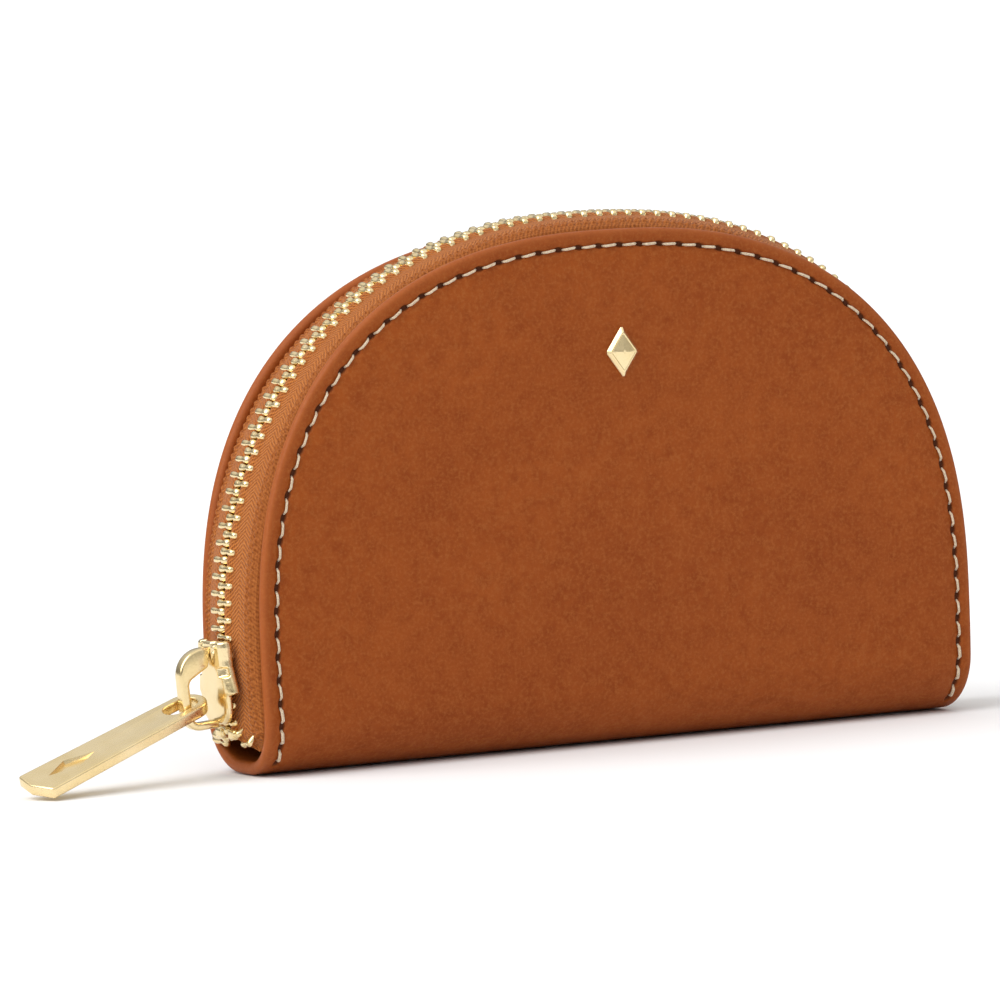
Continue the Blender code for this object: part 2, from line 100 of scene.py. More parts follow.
def smooth(t):
    """Goes from 0 to 1 with level ends as t goes from 0 to 1, and stays there."""
    t = np.clip(t, 0, 1)
    return t * t * (3 - 2 * t)


def resample(points, count):
    """The polyline's points at even distances along it."""
    step = np.linalg.norm(np.diff(points, axis=0), axis=1)
    travel = np.concatenate([[0], np.cumsum(step)])
    even = np.linspace(0, travel[-1], count)
    return np.column_stack([np.interp(even, travel, column) for column in points.T])


def unit(vectors):
    return vectors / np.linalg.norm(vectors, axis=-1, keepdims=True)


def outline(shape, low_z, count):
    """Points (x, z) round the D, from its left end at low_z over the top to its right end."""
    half_width, rise, left, right = shape
    below = 1.0                 # radians drawn past the widest place, which low_z then trims
    angle = np.linspace(-below, math.pi + below, 12001)
    cosine, sine = np.cos(angle), np.sin(angle)
    # one exponent turns into the other across the top of the D
    exponent = left + (right - left) * smooth((0.25 - cosine) / 0.5)
    x = -half_width * np.sign(cosine) * np.abs(cosine) ** (2 / exponent)
    rise = rise * np.where(sine < 0, LOWER_STRETCH, 1)
    z = WIDEST_Z + rise * np.sign(sine) * np.abs(sine) ** (2 / exponent)
    kept = z >= low_z
    return resample(np.column_stack((x[kept], z[kept])), count)


def loft(grid, first=0):
    """Closed skin over a grid of stations and ring points: its points and faces."""
    stations, ring = grid.shape[:2]
    faces = []
    for i in range(stations - 1):
        a, b = first + i * ring, first + (i + 1) * ring
        for j in range(ring):
            k = (j + 1) % ring
            faces.append((a + j, a + k, b + k, b + j))
    last = first + (stations - 1) * ring
    faces.append(tuple(range(first + ring - 1, first - 1, -1)))
    faces.append(tuple(range(last, last + ring)))
    return grid.reshape(-1, 3), faces


def joined_lofts(grids):
    """The points and faces of several closed skins together."""
    points, faces, first = [], [], 0
    for grid in grids:
        some_points, some_faces = loft(grid, first)
        points.append(some_points)
        faces += some_faces
        first += len(some_points)
    return np.vstack(points), faces


def turn_outwards(mesh, weld=0.0):
    """Turns the faces outwards, after joining points that are closer than weld, in metres."""
    work = bmesh.new()
    work.from_mesh(mesh)
    if weld:
        bmesh.ops.remove_doubles(work, verts=work.verts, dist=weld)
    bmesh.ops.recalc_face_normals(work, faces=work.faces)
    work.to_mesh(mesh)
    work.free()


def closed_mesh(name, points, faces):
    mesh = bpy.data.meshes.new(name)
    mesh.from_pydata(points.tolist(), [], faces)
    turn_outwards(mesh)
    return mesh


def add_object(name, data):
    obj = bpy.data.objects.new(name, data)
    bpy.context.scene.collection.objects.link(obj)
    return obj


def finish_piece(name, mesh, material, sharp_angle, matrix=None):
    """A piece from a mesh in metres. Edges above sharp_angle degrees look sharp, or none if it is 0."""
    if matrix is not None:
        mesh.transform(matrix)
    mesh.shade_smooth()
    if sharp_angle:
        mesh.set_sharp_from_angle(angle=math.radians(sharp_angle))
    mesh.materials.clear()
    mesh.materials.append(material)
    obj = add_object(name, mesh)
    return obj


def make_piece(name, points, faces, material, slot, sharp_angle):
    """One closed piece from points in millimetres, with its faces turned outwards."""
    return finish_piece(name, closed_mesh(name, points * MM, faces), material, sharp_angle)


def lofted_piece(name, grids, material, slot, sharp_angle):
    return make_piece(name, *joined_lofts(grids), material, slot, sharp_angle)


def store(obj, name, values):
    """Gives each point of the piece a number that its material can read."""
    attribute = obj.data.attributes.new(name, "FLOAT", "POINT")
    attribute.data.foreach_set("value", np.asarray(values, np.float32))


def evaluated_mesh(obj):
    """The object's mesh after its modifiers. The object itself is removed."""
    bpy.context.view_layer.update()
    shape = obj.evaluated_get(bpy.context.evaluated_depsgraph_get())
    mesh = bpy.data.meshes.new_from_object(shape)
    old = obj.data
    bpy.data.objects.remove(obj)
    if isinstance(old, bpy.types.Mesh):
        bpy.data.meshes.remove(old)
    else:
        bpy.data.curves.remove(old)
    return mesh


def bevelled_plate(name, loops, thickness, bevel):
    """Mesh, in metres, of a flat XY plate with rounded edges. The loops after the first are holes."""
    curve = bpy.data.curves.new(name, "CURVE")
    curve.dimensions = "2D"
    curve.fill_mode = "BOTH"
    curve.extrude = (thickness / 2 - bevel) * MM
    curve.bevel_depth = bevel * MM
    curve.bevel_resolution = 3
    curve.offset = -bevel * MM
    for loop in loops:
        spline = curve.splines.new("POLY")
        spline.points.add(len(loop) - 1)
        for point, (x, y) in zip(spline.points, loop):
            point.co = (x * MM, y * MM, 0, 1)
        spline.use_cyclic_u = True
    mesh = evaluated_mesh(add_object(name, curve))
    turn_outwards(mesh, weld=0.002 * MM)
    return mesh


def arc(centre, radius, start, end, steps):
    """Points of an arc from start to end, both in degrees."""
    turns = np.radians(np.linspace(start, end, steps + 1))
    return [(centre[0] + radius * math.cos(t), centre[1] + radius * math.sin(t)) for t in turns]


# ---- Materials ----

def node(tree, kind, inputs=None, **settings):
    """A shader node. Its inputs are values, or sockets to link."""
    made = tree.nodes.new("ShaderNode" + kind)
    for key, value in settings.items():
        setattr(made, key, value)
    for key, value in (inputs or {}).items():
        if isinstance(value, bpy.types.NodeSocket):
            tree.links.new(value, made.inputs[key])
        else:
            made.inputs[key].default_value = value
    return made


def noise(tree, size, detail, stretch=(1, 1, 1), roughness=0.5):
    """Noise whose largest features are about this many millimetres across."""
    place = node(tree, "TexCoord").outputs["Object"]
    scaled = node(tree, "Mapping", {"Vector": place, "Scale": stretch})
    made = node(tree, "TexNoise", {"Vector": scaled.outputs[0], "Scale": 1 / (size * MM),
                                   "Detail": detail, "Roughness": roughness})
    return made.outputs["Fac"]


def between(tree, value, low, high, to_low=0.0, to_high=1.0):
    """Goes smoothly from to_low to to_high as the value goes from low to high."""
    made = node(tree, "MapRange", {"Value": value, "From Min": low, "From Max": high,
                                   "To Min": to_low, "To Max": to_high}, interpolation_type="SMOOTHSTEP")
    return made.outputs[0]


def maths(tree, operation, a, b=0.0, c=0.0):
    made = node(tree, "Math", operation=operation)
    for socket, value in zip(made.inputs, (a, b, c)):
        if isinstance(value, bpy.types.NodeSocket):
            tree.links.new(value, socket)
        else:
            socket.default_value = value
    return made.outputs[0]


def mix(tree, factor, a, b):
    """Colour a where the factor is 0, and colour b where it is 1."""
    made = node(tree, "Mix", data_type="RGBA")
    for index, value in ((0, factor), (6, a), (7, b)):
        if isinstance(value, bpy.types.NodeSocket):
            tree.links.new(value, made.inputs[index])
        elif index:
            made.inputs[index].default_value = (*value, 1)
        else:
            made.inputs[index].default_value = value
    return made.outputs[2]


def bump(tree, height, distance, strength, before=None):
    """Bump of this many millimetres for a height that runs from 0 to 1, on top of the bump before it."""
    inputs = {"Height": height, "Distance": distance * MM, "Strength": strength}
    if before is not None:
        inputs["Normal"] = before
    return node(tree, "Bump", inputs).outputs[0]


def attribute(tree, name):
    return node(tree, "Attribute", attribute_name=name).outputs["Fac"]


def new_material(name, **constants):
    """A material with the shader's plain values set. An underscore stands for a space in an input's name."""
    material = bpy.data.materials.new(name)
    material.use_nodes = True
    tree = material.node_tree
    shader = tree.nodes["Principled BSDF"]
    for key, value in constants.items():
        shader.inputs[key.replace("_", " ")].default_value = value
    return material, tree, shader


def link(tree, shader, **outputs):
    for key, value in outputs.items():
        tree.links.new(value, shader.inputs[key.replace("_", " ")])


def leather_material():
    """Waxed tan leather: cloudy colour, fine grain, burnished rim with painted highlight, painted shade in
    stitch holes.
    """
    material, tree, shader = new_material("tan_leather_look", Specular_IOR_Level=0.16)
    clouds = noise(tree, 26, 4, stretch=(1, 1, 1.3))
    mottle = noise(tree, 2.6, 5, roughness=0.68)
    grain = noise(tree, 0.55, 4, roughness=0.7)
    colour = mix(tree, between(tree, clouds, 0.3, 0.7), (0.265, 0.053, 0.0042), (0.305, 0.065, 0.0062))
    colour = mix(tree, between(tree, mottle, 0.35, 0.72, 0, 0.5), colour, (0.190, 0.030, 0.0016))
    colour = mix(tree, between(tree, grain, 0.42, 0.72, 0, 0.6), colour, (0.355, 0.105, 0.020))
    rim = attribute(tree, "rim")
    # the rim is burnished, so less rough below, and its lighter colour is a painted highlight
    colour = mix(tree, maths(tree, "MULTIPLY", rim, 0.55), colour, (0.36, 0.100, 0.026))
    # painted shade: the stitch holes are coloured dark as if in deep shadow, on top of their real dent
    hole = attribute(tree, "hole")
    colour = mix(tree, hole, colour, (0.075, 0.018, 0.004))
    roughness = between(tree, mottle, 0.3, 0.7, 0.50, 0.62)
    roughness = maths(tree, "MULTIPLY_ADD", rim, -0.10, roughness)
    pore_size = 0.6
    place = node(tree, "TexCoord").outputs["Object"]
    pores = node(tree, "TexVoronoi", {"Vector": place, "Scale": 1 / (pore_size * MM)},
                 feature="DISTANCE_TO_EDGE").outputs["Distance"]
    normal = bump(tree, between(tree, pores, 0.0, 0.22), 0.012, 0.45)
    normal = bump(tree, grain, 0.05, 0.5, normal)
    normal = bump(tree, noise(tree, 7, 3), 0.25, 0.35, normal)
    link(tree, shader, Base_Color=colour, Roughness=roughness, Normal=normal)
    return material


def tape_material():
    """Herringbone zip tape. The stored distances are along the zip and across the tape."""
    material, tree, shader = new_material("zip_tape_look", Specular_IOR_Level=0.2, Sheen_Weight=0.1,
                                          Sheen_Roughness=0.4, Roughness=0.78)
    along = attribute(tree, "along")
    across = attribute(tree, "across")
    # the ribs lean one way on the half beside the teeth, and the other way beside the leather
    middle, rib_pitch, strand_pitch, lean, waver = 4.6, 0.66, 0.33, 0.9, 5.0
    side = between(tree, across, middle - 0.05, middle + 0.05, -1, 1)
    from_middle = maths(tree, "SUBTRACT", across, middle)
    slant = maths(tree, "MULTIPLY", from_middle, maths(tree, "MULTIPLY", side, lean))
    phase = maths(tree, "MULTIPLY", maths(tree, "ADD", along, slant), 2 * math.pi / rib_pitch)
    phase = maths(tree, "MULTIPLY_ADD", noise(tree, 0.9, 2), waver, phase)
    ribs = maths(tree, "MULTIPLY_ADD", maths(tree, "SINE", phase), 0.5, 0.5)
    strands = maths(tree, "SINE", maths(tree, "MULTIPLY", across, 2 * math.pi / strand_pitch))
    strands = maths(tree, "MULTIPLY_ADD", strands, 0.5, 0.5)
    weave = maths(tree, "MULTIPLY_ADD", strands, 0.35, maths(tree, "MULTIPLY", ribs, 0.65))
    weave = maths(tree, "MULTIPLY", weave, between(tree, across, 5.9, 6.3, 1.0, 0.5))
    fuzz = noise(tree, 0.35, 3, roughness=0.7)
    patches = noise(tree, 6, 3)
    # the herringbone's own pattern, with the valleys between the ribs darkened as painted shade
    colour = mix(tree, weave, (0.185, 0.041, 0.0045), (0.55, 0.182, 0.034))
    colour = mix(tree, between(tree, fuzz, 0.38, 0.7, 0, 0.5), colour, (0.52, 0.180, 0.042))
    colour = mix(tree, between(tree, patches, 0.35, 0.65, 0, 0.2), colour, (0.30, 0.076, 0.012))
    normal = bump(tree, weave, 0.16, 1.0)
    normal = bump(tree, fuzz, 0.05, 0.5, normal)
    link(tree, shader, Base_Color=colour, Normal=normal)
    return material


def brass_material(name, roughness, brushed):
    """Pale gold plating over brass, with faint handling marks."""
    material, tree, shader = new_material(name, Metallic=1.0, Anisotropic=0.3 if brushed else 0.0)
    patches = noise(tree, 5, 3)
    colour = mix(tree, between(tree, patches, 0.3, 0.7), (0.83, 0.65, 0.34), (0.89, 0.72, 0.42))
    marks = noise(tree, 0.5, 5, stretch=(0.25, 1, 1) if brushed else (1, 1, 1), roughness=0.7)
    rough = between(tree, marks, 0.3, 0.7, roughness - 0.05, roughness + 0.07)
    normal = bump(tree, marks, 0.012, 0.12 if brushed else 0.3)
    normal = bump(tree, noise(tree, 2.2, 2), 0.05, 0.25, normal)
    link(tree, shader, Base_Color=colour, Roughness=rough, Normal=normal)
    return material


def thread_material():
    """Waxed cream thread."""
    material, tree, shader = new_material("cream_thread_look", Specular_IOR_Level=0.35, Sheen_Weight=0.3,
                                          Sheen_Roughness=0.4, Roughness=0.6)
    fibres = noise(tree, 0.22, 4, roughness=0.7)
    colour = mix(tree, between(tree, fibres, 0.35, 0.7), (0.50, 0.38, 0.25), (0.76, 0.64, 0.47))
    normal = bump(tree, fibres, 0.05, 0.6)
    link(tree, shader, Base_Color=colour, Normal=normal)
    return material


def lining_material():
    """Brown twill."""
    rib_pitch = 0.7
    material, tree, shader = new_material("lining_cloth_look", Specular_IOR_Level=0.2, Sheen_Weight=0.2,
                                          Sheen_Roughness=0.5, Roughness=0.85)
    place = node(tree, "SeparateXYZ", {"Vector": node(tree, "TexCoord").outputs["Object"]})
    diagonal = maths(tree, "ADD", place.outputs["X"], place.outputs["Z"])
    twill = maths(tree, "SINE", maths(tree, "MULTIPLY", diagonal, 2 * math.pi / (rib_pitch * MM)))
    twill = maths(tree, "MULTIPLY_ADD", twill, 0.5, 0.5)
    fuzz = noise(tree, 0.8, 4, roughness=0.7)
    colour = mix(tree, twill, (0.085, 0.032, 0.012), (0.155, 0.062, 0.024))
    colour = mix(tree, between(tree, fuzz, 0.4, 0.7, 0, 0.3), colour, (0.20, 0.085, 0.035))
    normal = bump(tree, twill, 0.06, 0.6)
    link(tree, shader, Base_Color=colour, Normal=bump(tree, fuzz, 0.05, 0.4, normal))
    return material


LEATHER_LOOK = leather_material()
TAPE_LOOK = tape_material()
CAST_BRASS = brass_material("cast_brass_look", 0.20, False)
BRUSHED_BRASS = brass_material("brushed_brass_look", 0.24, True)
THREAD_LOOK = thread_material()
LINING_LOOK = lining_material()


# ---- Folded sheets: the leather and its lining, laid out flat as (x, s) ----

def unrolled(z, flat, radius):
    """Distance from the fold's middle line, round the fold, of a point at this height."""
    turn = np.arccos(np.clip((radius - z) / radius, 0, 1))
    return flat + radius * turn + np.maximum(z - radius, 0)


def folded(x, s, height, flat, radius, floor=0.0):
    """Folds the flat sheet up. Height is measured outwards from the sheet's outer face."""
    away = np.abs(s)
    turn = np.clip((away - flat) / radius, 0, math.pi / 2)
    y = np.minimum(away, flat) + (radius + height) * np.sin(turn)
    z = radius - (radius + height) * np.cos(turn) + np.maximum(away - flat - radius * math.pi / 2, 0)
    return np.stack([x, np.sign(s) * y, floor + z], axis=-1)


def flat_edge(shape, inset, floor, flat, radius, count):
    """Edge of the flat sheet as a closed loop, with its outward normals."""
    side = outline(shape, floor, 6000)
    step = np.gradient(side, axis=0)
    side = side - inset * unit(np.column_stack((-step[:, 1], step[:, 0])))
    side = side[side[:, 1] >= floor]
    away = unrolled(side[:, 1] - floor, flat, radius)
    front = np.column_stack((side[:, 0], -away))
    back = np.column_stack((side[::-1, 0], away[::-1]))
    loop = resample(np.vstack((front, back, front[:1])), count + 1)[:-1]
    step = np.roll(loop, -1, axis=0) - np.roll(loop, 1, axis=0)
    return loop, unit(np.column_stack((step[:, 1], -step[:, 0])))


def folded_sheet(name, edge, normal, band, core_inset, place, material, slot, thin):
    """A closed sheet of rings: a band round the edge, then scaled rings to the middle on both faces.

    band holds each ring's inset and height, from the outer face round the edge to the inner face.
    place folds the flat points up. The scaled rings have one point for every thin points of the edge.
    """
    count = len(edge)
    rings = [(edge - normal * inset, np.full(count, inset), np.full(count, height)) for inset, height in band]
    core = edge[::thin] - normal[::thin] * core_inset
    scales = np.concatenate([np.linspace(0.97, 0.27, 24), np.linspace(0.25, 0.012, 22)])
    for height in (band[0][1], band[-1][1]):
        for scale in scales:
            inside = np.full(len(core), core_inset + CORE_REACH * (1 - scale))
            rings.append((core * scale, inside, np.full(len(core), height)))
    starts = np.cumsum([0] + [len(ring[0]) for ring in rings])
    faces = []
    for k in range(len(band) - 1):
        a, b = int(starts[k]), int(starts[k + 1])
        for i in range(count):
            j = (i + 1) % count
            faces.append((a + i, a + j, b + j, b + i))
    small = len(core)
    for first_ring, band_ring in ((len(band), 0), (len(band) + len(scales), len(band) - 1)):
        a, b = int(starts[band_ring]), int(starts[first_ring])
        for i in range(small):
            outer = tuple(a + (thin * i + n) % count for n in range(thin + 1))
            faces.append(outer + (b + (i + 1) % small, b + i))
        for k in range(first_ring, first_ring + len(scales) - 1):
            a, b = int(starts[k]), int(starts[k + 1])
            for i in range(small):
                j = (i + 1) % small
                faces.append((a + i, a + j, b + j, b + i))
        last = int(starts[first_ring + len(scales) - 1])
        faces.append(tuple(last + i for i in range(small)))
    flat = np.vstack([ring[0] for ring in rings])
    inset = np.concatenate([ring[1] for ring in rings])
    height = np.concatenate([ring[2] for ring in rings])
    return make_piece(name, place(flat, inset, height), faces, material, slot, 0)


def leather_fold(x, s, height):
    return folded(x, s, height, FOLD_FLAT, FOLD_RADIUS)


LEATHER_EDGE, LEATHER_NORMAL = flat_edge(PANEL_SHAPE, 0, 0, FOLD_FLAT, FOLD_RADIUS, 1980)


def seam_line(side):
    """One panel's seam on the flat sheet, from left to right: evenly spaced points, and outward normals."""
    line = LEATHER_EDGE - LEATHER_NORMAL * SEAM_INSET
    line = line[side * line[:, 1] > SEAM_LOW]
    if side > 0:
        line = line[::-1]
    line = resample(line, 3000)
    step = np.gradient(line, axis=0)
    normal = unit(np.column_stack((step[:, 1], -step[:, 0])))
    return line, -side * normal


def seam_holes(side):
    """The places of one panel's stitch holes on the flat sheet, and the seam's normals there."""
    line, normal = seam_line(side)
    length = np.linalg.norm(np.diff(line, axis=0), axis=1).sum()
    count = round(length / STITCH_PITCH)
    index = np.linspace(0, len(line) - 1, count + 1).round().astype(int)
    return line[index], normal[index]


HOLES = {side: seam_holes(side) for side in (-1, 1)}


def hole_distance(flat, inset):
    """How far each point is from its nearest stitch hole, 1 on the hole's outline."""
    distance = np.full(len(flat), 9.0)              # far from any hole
    near = np.flatnonzero(np.abs(inset - SEAM_INSET) < 1.2)
    slant = 0.35                                    # the holes lean along the seam
    for side in (-1, 1):
        own = near[side * flat[near, 1] > SEAM_LOW - 2]
        places, normals = HOLES[side]
        for place, normal in zip(places, normals):
            away = flat[own] - place
            close = np.abs(away).max(axis=1) < 2.0
            if not close.any():
                continue
            out = away[close] @ normal
            along = away[close] @ np.array((-normal[1], normal[0])) + slant * out * -side
            new = np.hypot(along / HOLE_HALF_LENGTH, out / HOLE_HALF_WIDTH)
            index = own[close]
            distance[index] = np.minimum(distance[index], new)
    return distance


def build_leather():
    """Front panel, fold and back panel in one sheet, with a rounded rim, a seam groove and stitch holes."""
    # the rings lie closest together at the seam, and the edge is rounded on both faces
    outer_corner, inner_corner = 0.75, 1.0
    band = [(inset, 0) for inset in (LEATHER_CORE, 5.2, 4.5, 3.9, 3.5, 3.2)]
    band += [(inset, 0) for inset in np.arange(3.05, 1.7, -0.125)]
    band += [(inset, 0) for inset in (1.5, 1.25, 1.0)]
    for turn in np.radians(np.linspace(0, 90, 7)):
        band.append((outer_corner * (1 - math.sin(turn)), -outer_corner * (1 - math.cos(turn))))
    band.append((0, -0.85))
    for turn in np.radians(np.linspace(12, 90, 6)):
        band.append((inner_corner * (1 - math.cos(turn)), inner_corner * (1 - math.sin(turn)) - LEATHER))
    band += [(inset, -LEATHER) for inset in (1.8, 3.5, LEATHER_CORE)]
    groove_depth, groove_width, hole_depth = 0.16, 0.6, 0.42
    pillow_height, bulge_height, wave_height = 0.35, 1.0, 0.035
    facts = {}

    def place(flat, inset, height):
        x, s = flat.T
        outside = height > -0.5 * LEATHER
        level = leather_fold(x, s, 0 * x)[:, 2]
        high = smooth(level / 14)
        distance = hole_distance(flat, inset)
        stitched = smooth((np.abs(s) - SEAM_LOW + 1.5) / 3)
        groove = groove_depth * np.exp(-((inset - SEAM_INSET) / groove_width) ** 2) * stitched
        hole = hole_depth * (1 - smooth((distance - 0.6) / 0.7))
        # stuffed inside the seam, fullest in the middle, and slightly uneven
        pillow = pillow_height * smooth((inset - SEAM_INSET) / 3.6) * high
        inwards = np.clip((inset - LEATHER_CORE) / CORE_REACH, 0, 1)
        bulge = bulge_height * (1 - (1 - inwards) ** 2) ** 2 * smooth((level - 5) / 30)
        waves = (np.sin(x / 9.1 + s / 13.7 + 0.6) + np.sin(x / 15.3 - s / 8.3 + 2.1)
                 + np.sin(x / 6.1 + 1.3) * np.sin(s / 7.3)) * wave_height
        waves = waves * smooth((inset - 4) / 10) * high
        relief = np.where(outside, pillow + bulge + waves - groove - hole, pillow + bulge)
        # the mask of the rim's burnish and of its painted highlight
        facts["rim"] = 1 - smooth(inset / 1.5)
        # the mask of the painted shade in the stitch holes
        facts["hole"] = np.where(outside, 1 - smooth((distance - 0.75) / 0.4), 0)
        return leather_fold(x, s, height + relief)

    leather = folded_sheet("leather_shell", LEATHER_EDGE, LEATHER_NORMAL, band, LEATHER_CORE, place,
                           LEATHER_LOOK, "tan_leather", 4)
    for name, values in facts.items():
        store(leather, name, values)
    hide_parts("front_panel", "back_panel", "base_fold")
    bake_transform(leather)
    return leather


def build_lining():
    """The lining, one thin sheet folded inside the leather."""
    flat, radius, floor = 1.9, 5.5, 2.3
    inset_from_panel, core_inset, cloth = 5.0, 2.5, 0.6
    edge, normal = flat_edge(PANEL_SHAPE, inset_from_panel, floor, flat, radius, 480)
    band = [(core_inset, 0), (1.2, 0), (0.5, 0), (0.12, -0.1 * cloth), (0, -0.5 * cloth),
            (0.12, -0.9 * cloth), (0.5, -cloth), (core_inset, -cloth)]

    def place(sheet, inset, height):
        x, s = sheet.T
        level = np.maximum(np.abs(s) - 9, 0)
        waves = 0.10 * np.sin(x / 5.3 + s / 11) + 0.08 * np.sin(s / 4.1 - x / 17)
        waves = waves * smooth(level / 10) * smooth(inset / 4)
        return folded(x, s, height + waves - 0.1 * smooth(level / 10), flat, radius, floor)

    lining = folded_sheet("lining", edge, normal, band, core_inset, place, LINING_LOOK, "lining_cloth", 2)
    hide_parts("front_lining", "back_lining", "base_lining")
    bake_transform(lining)
    return lining


def build_stitches(side):
    """The visible stitches of one panel: each comes up from a hole and dives into the next."""
    places, normals = HOLES[side]
    sunk, climb, crown, swing = -0.40, 0.53, 0.05, 0.06
    into_hole = 0.56                # how far inside each hole's middle the thread starts
    t = np.linspace(0, 1, 11)
    rise = sunk + climb * smooth(np.minimum(t, 1 - t) / 0.22) + crown * np.sin(np.pi * t)
    sideways = swing * (2 * smooth((t - 0.1) / 0.8) - 1)
    turns = np.linspace(0, 2 * math.pi, 9)[:-1]
    grids = []
    for k in range(len(places) - 1):
        start, end = places[k], places[k + 1]
        run = unit(end - start)
        out = (normals[k] + normals[k + 1]) / 2
        first, last = start + run * into_hole, end - run * into_hole
        flat = first + (last - first) * t[:, None] + out * sideways[:, None]
        centre = leather_fold(flat[:, 0], flat[:, 1], rise)
        above = unit(leather_fold(flat[:, 0], flat[:, 1], rise + 1) - centre)
        along = unit(np.gradient(centre, axis=0))
        across = unit(np.cross(along, above))
        above = np.cross(across, along)
        # the seam's last stitches are sewn twice
        doubled = 1.25 if min(k, len(places) - 2 - k) < 3 else 1.0
        radius = THREAD_RADIUS * doubled * (0.72 + 0.28 * smooth(np.minimum(t, 1 - t) / 0.2))
        ring = (across[:, None] * np.cos(turns)[None, :, None] * 1.05
                + above[:, None] * np.sin(turns)[None, :, None] * 0.9)
        grids.append(centre[:, None] + ring * radius[:, None, None])
    place = "front" if side < 0 else "back"
    thread = lofted_piece(place + "_stitches", grids, THREAD_LOOK, "cream_thread", 0)
    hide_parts(place + "_seam_thread")
    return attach(thread, place)


# ---- The zip ----

def parting(z, x):
    """How far a row of teeth has left the middle plane below the parked slider."""
    return np.where(x < 0, PARTED * smooth((PARTED_BELOW - z) / PARTED_WITHIN), 0)


def zip_line(low_z, count):
    """The zip's line (x, z) round the D, with its ends tucked in behind the leather."""
    flat = outline(CHAIN_SHAPE, low_z, count)
    step = unit(np.gradient(flat, axis=0))
    tuck = TUCK * smooth((TUCK_BELOW - flat[:, 1]) / TUCK_WITHIN)
    return flat + tuck[:, None] * np.column_stack((step[:, 1], -step[:, 0]))


def row_path(side, low_z, count):
    """Path of one row: points, and directions along it, outwards, and towards the row's own side."""
    flat = zip_line(low_z, 6000)
    x, z = flat.T
    points = resample(np.column_stack((x, side * parting(z, x), z)), count)
    along = unit(np.gradient(points, axis=0))
    flat_along = unit(along * (1, 0, 1))
    outwards = np.column_stack((-flat_along[:, 2], np.zeros(count), flat_along[:, 0]))
    away = unit(np.cross(outwards, along))
    away = away * np.where(away[:, 1:2] * side > 0, 1, -1)
    # the teeth stay nearly level where the row turns aside
    level = 0.75
    away = unit((1 - level) * away + level * np.array((0, side, 0)))
    return points, unit(np.cross(away, outwards)), outwards, away


TOOTH = np.array([
    # towards its own side, half length along the zip, low and high
    (-1.02, 0.18, -0.30, 0.42),
    (-0.93, 0.42, -0.58, 0.76),
    (-0.62, 0.58, -0.82, 1.04),
    (-0.15, 0.62, -0.95, 1.16),
    (0.35, 0.55, -0.95, 1.02),
    (0.85, 0.46, -0.92, 0.84),
    (1.30, 0.48, -1.00, 0.96),
    (1.95, 0.53, -1.04, 1.12),
    (2.55, 0.52, -1.00, 1.10),
    (2.92, 0.42, -0.84, 0.92),
    (3.06, 0.20, -0.45, 0.58)])


def build_teeth(side):
    """One row of cast teeth, each with a bean-shaped head, a waist and legs over the tape's cord."""
    place = "front" if side < 0 else "back"
    points, along, outwards, away = row_path(side, ROW_LOW, 24000)
    length = np.linalg.norm(np.diff(points, axis=0), axis=1).sum()
    # teeth are counted from the closed end, and the back row is half a pitch behind the front one
    from_closed_end, from_open_end = 1.1, 0.6
    offset = from_closed_end if side < 0 else from_closed_end + TOOTH_PITCH / 2
    # each section of a tooth is a rectangle with well rounded corners
    squareness, unevenness = 0.55, 0.03
    turns = np.linspace(0, 2 * math.pi, 13)[:-1] + math.pi / 12
    cosine = np.sign(np.cos(turns)) * np.abs(np.cos(turns)) ** squareness
    sine = np.sign(np.sin(turns)) * np.abs(np.sin(turns)) ** squareness
    reach, half, low, high = TOOTH.T
    middle, tall = (low + high) / 2, (high - low) / 2
    grids, closed_end = [], []
    for k, travel in enumerate(np.arange(length - offset, from_open_end, -TOOTH_PITCH)):
        i = int(round(travel / length * (len(points) - 1)))
        jitter = unevenness * math.sin(7.3 * k + 2 * side)
        u = half[:, None] * cosine + jitter * reach[:, None]
        v = middle[:, None] + tall[:, None] * sine + jitter
        grid = (points[i] + along[i] * u[..., None] + outwards[i] * v[..., None]
                + away[i] * reach[:, None, None])
        x, _, z = points[i]
        at_closed_end = side < 0 and x > 0 and z < CLOSED_END_HIGH
        (closed_end if at_closed_end else grids).append(grid)
    if closed_end:
        # beside the hinge the front row stays meshed with the back one
        meshed = lofted_piece("closed_end_teeth", closed_end, CAST_BRASS, "pale_brass", 50)
        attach(meshed, "back")
    teeth = lofted_piece(place + "_zip_teeth", grids, CAST_BRASS, "pale_brass", 50)
    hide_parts(place + "_teeth")
    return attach(teeth, place)


TAPE_OUTSIDE = np.array([
    # towards its own side, and outwards: the cord, the flat, the ridge, and the flange behind the leather,
    # whose last two points are hidden
    (0.90, 0.00), (0.96, 0.40), (1.20, 0.66), (1.62, 0.78), (2.05, 0.70), (2.40, 0.48), (2.75, 0.30),
    (3.20, 0.20), (3.80, 0.14), (4.40, 0.04), (5.00, -0.10), (5.50, -0.24), (5.85, -0.36), (6.10, -0.44),
    (6.30, -0.48), (6.50, -0.52), (6.70, -0.56), (6.90, -0.60), (7.10, -0.64), (7.30, -0.70), (7.50, -0.78),
    (7.75, -0.90), (8.00, -1.05), (8.25, -1.35), (8.38, -2.3), (8.38, -5.6)])
TAPE_INSIDE = np.array([
    (7.88, -5.6), (7.88, -3.1), (7.75, -2.3), (7.35, -1.7), (6.7, -1.30), (6.0, -0.98), (5.0, -0.65),
    (3.8, -0.42), (2.7, -0.30), (2.2, -0.45), (1.70, -0.60), (1.15, -0.45)])


